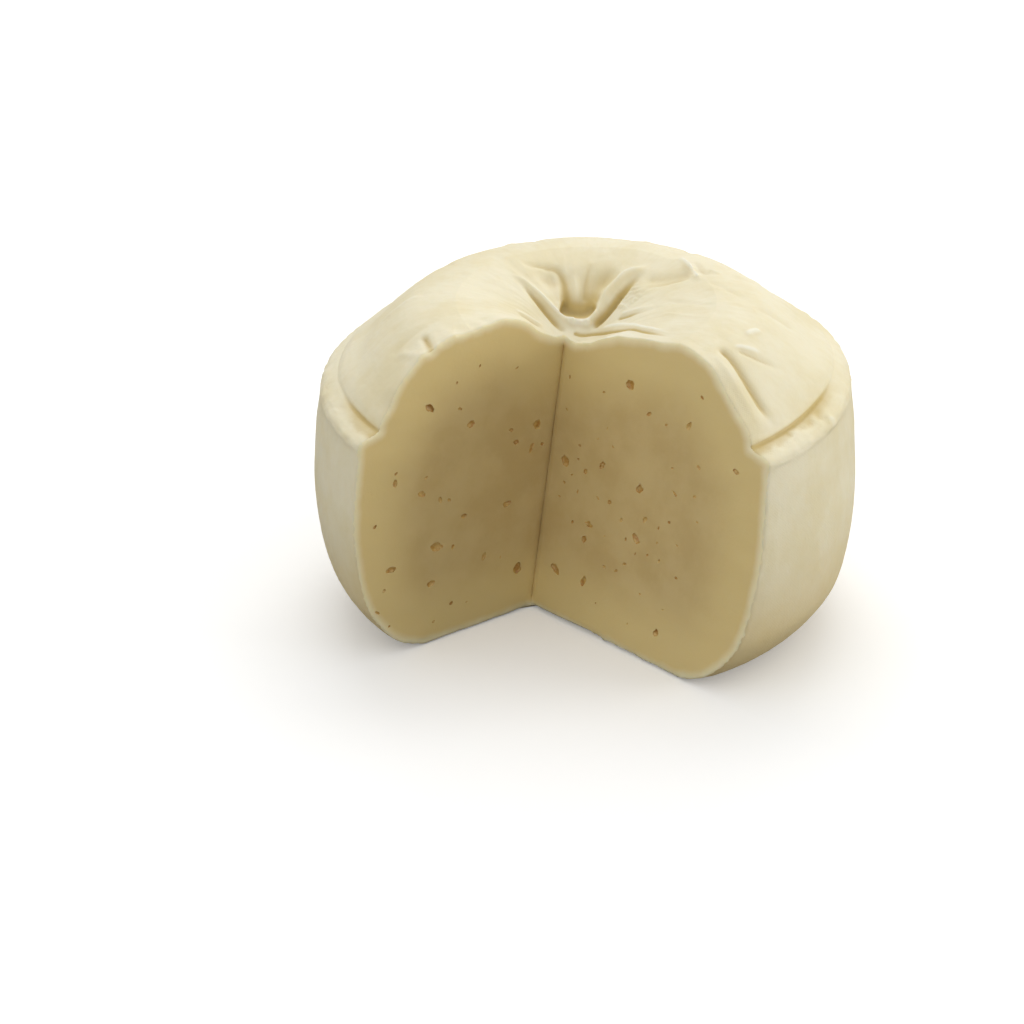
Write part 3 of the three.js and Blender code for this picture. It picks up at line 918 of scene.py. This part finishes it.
    def _back(self) -> list[Fold]:
        """The small folds of the shoulder that faces away.

        Returns:
            Creases and ridges by turns.
        """
        rng = random.Random(self.back_seed)
        inner, near, far = self.back_radii
        first, last = self.back_angles
        made: list[Fold] = []
        for index in range(self.back_folds):
            share = (index + rng.uniform(*self.back_places)) / self.back_folds
            start = first + share * (last - first)
            turns = np.radians((start, start + rng.uniform(-self.back_turn, self.back_turn)))
            radii = np.array((inner, rng.uniform(near, far)))
            ends = np.stack((radii * np.sin(turns), -radii * np.cos(turns)), axis=1)
            height = rng.uniform(*self.back_heights) * (1 if index % 2 else -1)
            path = tuple(tuple(spot) for spot in (ends[0], ends.mean(0), ends[1]))
            made.append(Fold(path, height, self.back_width))
        return made

    def _ledge_share(self, spots: Array) -> Array:
        """How much of the ledge is left at each point, 1 by the cut and little at the back."""
        turn = np.degrees(np.abs(np.arctan2(spots[:, 0], -spots[:, 1])))
        return 1 - (1 - self.ledge_left) * ease(turn, *self.ledge_angles)

    def _fill_ledge(self, shape: BMesh) -> Array:
        """Lets the ledge run out towards the back.

        Args:
            shape: The turned bmesh.

        Returns:
            Its points in millimetres, after their move.
        """
        spots = np.array([vert.co for vert in shape.verts]) / MM
        layer = shape.verts.layers.float_vector["plain"]
        plain = np.array([vert[layer] for vert in shape.verts])
        share = self._ledge_share(spots)
        radius = np.hypot(spots[:, 0], spots[:, 1])
        wanted = plain[:, 0] + share * (radius - plain[:, 0])
        ratio = np.divide(wanted, radius, out=np.ones_like(radius), where=radius > self.axis_core)
        spots[:, :2] *= ratio[:, None]
        spots[:, 2] = plain[:, 1] + share * (spots[:, 2] - plain[:, 1])
        for vert, spot in zip(shape.verts, spots):
            vert.co = Vector(spot) * MM
        shape.normal_update()
        return spots

    def _gather(self, settled: Array, top: Array) -> tuple[Array, Array]:
        """The folds of the top and its frosted spot.

        Args:
            settled: Points of the leaning wheel in millimetres.
            top: Which of them lie above the wall.

        Returns:
            How far they lift each point, and their painted shade there, below 0, and painted highlight,
            above 0.
        """
        lift, marks = np.zeros((2, len(settled)))
        for fold in (*self.swells, *self.gathers, *self.creases, *self._back()):
            rise = fold.rise(settled[top, :2])
            lift[top] += rise
            # Painted shade where the fold sinks, painted highlight where it rises
            marks[top] += fold.light_paint * rise
        gap = np.hypot(settled[:, 0] - self.frost[0], settled[:, 1] - self.frost[1])
        frosted = (1 - ease(gap, *self.frost_reach)) * top
        lift += self.frost_height * swell(settled, self.frost_grain, octaves=3) * frosted
        return lift, marks

    def _press(self, shape: BMesh) -> None:
        """Leans the wheel and presses folds, gathers and cloth marks into its skin.

        Args:
            shape: The turned bmesh.
        """
        spots = self._fill_ledge(shape)
        normals = np.array([vert.normal for vert in shape.verts])
        settled = self._settle(spots)
        radius = np.hypot(spots[:, 0], spots[:, 1])
        height = spots[:, 2]
        top = height > self.fold_start
        lift, marks = self._gather(settled, top)

        layer = shape.verts.layers.float_vector["plain"]
        way = np.array([vert[layer].z for vert in shape.verts])
        share = self._ledge_share(spots)
        trough = share * np.exp(-((way - self.outline.groove_way()) / self.groove_width) ** 2)
        shelf = top * ease(radius, *self.shelf_inner) * (1 - ease(radius, *self.shelf_outer))
        shelf *= 1 - ease(height, *self.shelf_end)
        # Painted shade in the ledge's groove and on its shelf, fading where the ledge runs out
        shaded = self.groove_shade * trough + self.shelf_shade * shelf
        marks -= ease(share, self.ledge_left, self.ledge_full) * shaded
        lift -= self.groove_depth * trough

        turn = np.arctan2(spots[:, 0], spots[:, 1])
        spokes = self.ripple_spokes * np.stack((np.cos(turn), np.sin(turn)))
        on_top = ease(height, *self.ripple_start) * ease(radius, *self.ripple_inner)
        on_top *= 1 - ease(radius, *self.ripple_outer)
        rounds = np.vstack((spokes, radius / self.ripple_length)).T
        ripples = self.ripple * swell(rounds, spacing=1, octaves=3) * on_top
        lift += ripples
        sway = self.sway * swell(settled, self.sway_size) * ease(height, *self.sway_start)
        lift += sway * ease(radius, *self.sway_inner)
        lip = ease(height, *self.lip_start) * (1 - ease(height, *self.lip_end))
        lip *= ease(radius, *self.lip_inner)
        crumbs = self.crumb * swell(settled, self.crumb_size, octaves=3) * lip
        lift += crumbs
        weave = self.cloth * swell(settled * (1, 1, self.cloth_squash), self.cloth_size)
        lift += weave * ease(height, *self.cloth_start) * ease(radius, *self.cloth_inner)
        # Painted highlight on the crests of crumbs and ripples, painted shade in their dips
        marks += self.crumb_shading * crumbs
        marks += self.ripple_shading * ripples

        moved = settled + lift[:, None] * normals
        moved[:, 2] = np.maximum(moved[:, 2], 0)
        # This layer holds the painted shade and highlight that the rind finish reads
        layer = shape.verts.layers.float.new("painted_shading")
        for vert, spot, mark in zip(shape.verts, moved, marks):
            vert.co = Vector(spot) * MM
            vert[layer] = mark
        shape.normal_update()

    @staticmethod
    def _skin(shape: BMesh) -> Skin:
        """Keeps the uncut skin, to measure from later.

        Args:
            shape: The pressed bmesh.

        Returns:
            Its search tree, and the corners of each face with their way up the outline and painted
            shading.
        """
        plain = shape.verts.layers.float_vector["plain"]
        painted_shading = shape.verts.layers.float["painted_shading"]
        shape.faces.ensure_lookup_table()
        corners = [[vert.co.copy() for vert in face.verts] for face in shape.faces]
        values = [[(vert[plain].z * MM, vert[painted_shading]) for vert in face.verts] for face in shape.faces]
        return BVHTree.FromBMesh(shape), corners, values

    def _carve(self, whole: Object, tools: list[Object]) -> Object:
        """Takes the tools' forms out of the wheel.

        Args:
            whole: The uncut wheel.
            tools: Closed forms to take out.

        Returns:
            The cut wheel as a new object.
        """
        for tool in tools:
            bite = whole.modifiers.new(tool.name, "BOOLEAN")
            bite.operation = "DIFFERENCE"
            bite.solver = "MANIFOLD"
            bite.material_mode = "TRANSFER"
            bite.object = tool
        bpy.context.view_layer.update()
        ready = whole.evaluated_get(bpy.context.evaluated_depsgraph_get())
        mesh = bpy.data.meshes.new_from_object(ready)
        mesh.name = self.name
        # Taking away a mesh takes its object too
        for spent in (whole, *tools):
            bpy.data.meshes.remove(spent.data)
        made = bpy.data.objects.new(self.name, mesh)
        bpy.context.scene.collection.objects.link(made)
        return made

    def _soften(self) -> None:
        """Closes the slivers along the cut, rounds its edges and shades the piece smooth."""
        shape = bmesh.new()
        shape.from_mesh(self.piece.data)
        bmesh.ops.remove_doubles(shape, verts=shape.verts[:], dist=self.weld * MM)
        bmesh.ops.remove_doubles(shape, verts=self._rim(shape), dist=self.sliver * MM)
        bmesh.ops.dissolve_degenerate(shape, edges=shape.edges[:], dist=self.flat * MM)
        bmesh.ops.dissolve_verts(shape, verts=[vert for vert in shape.verts if len(vert.link_edges) == 2])
        band = set(self._rim(shape))
        for _ in range(self.edge_rings):
            band |= {edge.other_vert(vert) for vert in band for edge in vert.link_edges}
        eyes = [face for face in shape.faces if face.material_index == Zone.EYE.value]
        band -= {vert for face in eyes for vert in face.verts}
        for _ in range(self.edge_passes):
            bmesh.ops.smooth_vert(shape, verts=list(band), factor=0.5, use_axis_x=True, use_axis_y=True,
                                  use_axis_z=True)
        bmesh.ops.recalc_face_normals(shape, faces=shape.faces[:])
        for face in shape.faces:
            face.smooth = True
        for edge in shape.edges:
            zones = {face.material_index for face in edge.link_faces}
            cut = Zone.PASTE.value in zones and Zone.RIND.value not in zones
            edge.smooth = not (cut and edge.calc_face_angle(0.0) > self.sharp)
        shape.to_mesh(self.piece.data)
        shape.free()

    @staticmethod
    def _rim(shape: BMesh) -> list[BMVert]:
        """The vertices along the edges of the cut, where rind and paste meet."""
        both = {Zone.RIND.value, Zone.PASTE.value}
        return [vert for vert in shape.verts if both <= {face.material_index for face in vert.link_faces}]

    def _mark(self, skin: Skin) -> None:
        """Writes what the finishes read at each vertex.

        Args:
            skin: The uncut skin, from _skin.
        """
        tree, corners, values = skin
        mesh = self.piece.data
        rows: list[tuple[float, ...]] = []
        for vert in mesh.vertices:
            spot, _, face, gap = tree.find_nearest(vert.co)
            # The way up the outline and the painted shade and highlight come from the nearest face of the
            # uncut skin
            way, mark = np.array(poly_3d_calc(corners[face], spot)) @ np.array(values[face])
            turn = math.atan2(spot.x, spot.y)
            rows.append((turn * self.outline.bulge[0] * MM, way, 0.0, mark, gap))
        found = np.array(rows)
        spots = np.array([vert.co for vert in mesh.vertices]) / MM
        sunk = np.minimum(*(np.abs(self.cut.gap(side, spots)) for side in Side)) * MM
        layers = {"skin": found[:, :3], "painted_shading": found[:, 3], "rind_depth": found[:, 4], "eye_depth": sunk}
        for name, row in layers.items():
            if name in mesh.attributes:
                mesh.attributes.remove(mesh.attributes[name])
            kind, key = ("FLOAT", "value") if row.ndim == 1 else ("FLOAT_VECTOR", "vector")
            layer = mesh.attributes.new(name, kind, "POINT")
            layer.data.foreach_set(key, np.ascontiguousarray(row, dtype=np.float32).ravel())


@dataclass
class Studio:
    """The pale floor, the soft lights and the camera."""

    floor_size: float = 8
    floor_seen: Colour = tint(250, 250, 249)
    floor_bounce: Colour = tint(140, 138, 134)
    floor_glow: float = 0.16
    world_strength: float = 0.7
    aim: Triple = (-19.83, 0, 26.87)
    distance: float = 788.1
    elevation: float = 25.26
    lens: float = 99.98
    sensor: float = 36
    light_aim: Triple = (0, 0, 0.04)
    lights: tuple[tuple[str, Triple, float, float], ...] = (
        ("overhead", (0.02, 0.72, 0.84), 0.9, 4.35),
        ("right_side", (2.1, -0.12, 0.32), 1.4, 23.2),
        ("left_side", (-2, -1, 0.76), 1.4, 5.6))

    def build(self) -> None:
        """Builds floor, lights, world and camera."""
        self._floor()
        self._world()
        self._hang()
        self._camera()
        bpy.context.scene.view_settings.view_transform = "Standard"

    def _floor(self) -> None:
        """Lays the floor, which looks pale but throws little light back up."""
        shape = bmesh.new()
        bmesh.ops.create_grid(shape, x_segments=1, y_segments=1, size=self.floor_size / 2)
        material, sheet = new_material("pale_floor")
        seen = sheet.add("ShaderNodeLightPath", {}).outputs["Is Camera Ray"]
        sheet.surface({
            "Base Color": sheet.blend(seen, self.floor_bounce, self.floor_seen), "Roughness": 0.8,
            "Emission Color": (1, 1, 1, 1),
            "Emission Strength": sheet.maths("MULTIPLY", seen, self.floor_glow)})
        floor = new_object("studio_floor", shape, material)

    def _world(self) -> None:
        """Sets the even light that comes from all round."""
        world = bpy.data.worlds.new("studio_world")
        world.use_nodes = True
        background = world.node_tree.nodes["Background"]
        background.inputs["Strength"].default_value = self.world_strength
        background.inputs["Color"].default_value = (1, 1, 1, 1)
        bpy.context.scene.world = world

    def _hang(self) -> None:
        """Hangs the soft square lights: name, place, side in metres and power in watts of each."""
        for name, place, size, power in self.lights:
            lamp = bpy.data.lights.new(name, "AREA")
            lamp.size = size
            lamp.energy = power
            hung = bpy.data.objects.new(name, lamp)
            hung.location = place
            facing = Vector(self.light_aim) - Vector(place)
            hung.rotation_euler = facing.to_track_quat("-Z", "Y").to_euler()
            bpy.context.scene.collection.objects.link(hung)

    def _camera(self) -> None:
        """Sets the camera at the viewing angle."""
        lens = bpy.data.cameras.new("camera")
        lens.lens = self.lens
        lens.sensor_width = self.sensor
        camera = bpy.data.objects.new("camera", lens)
        tilt = math.radians(self.elevation)
        back = Vector((0, -math.cos(tilt), math.sin(tilt))) * self.distance
        camera.location = (Vector(self.aim) + back) * MM
        camera.rotation_euler = (math.pi / 2 - tilt, 0, 0)
        bpy.context.scene.collection.objects.link(camera)
        bpy.context.scene.camera = camera


def main() -> None:
    """Builds the wheel and the studio."""
    logging.basicConfig(level=logging.INFO)
    effects = Effects().build()
    wheel = Wheel().build(effects)
    wheel.data.calc_loop_triangles()
    LOG.info("piece %s: %d triangles", wheel.name, len(wheel.data.loop_triangles))
    Studio().build()


if __name__ == "__main__":
    main()
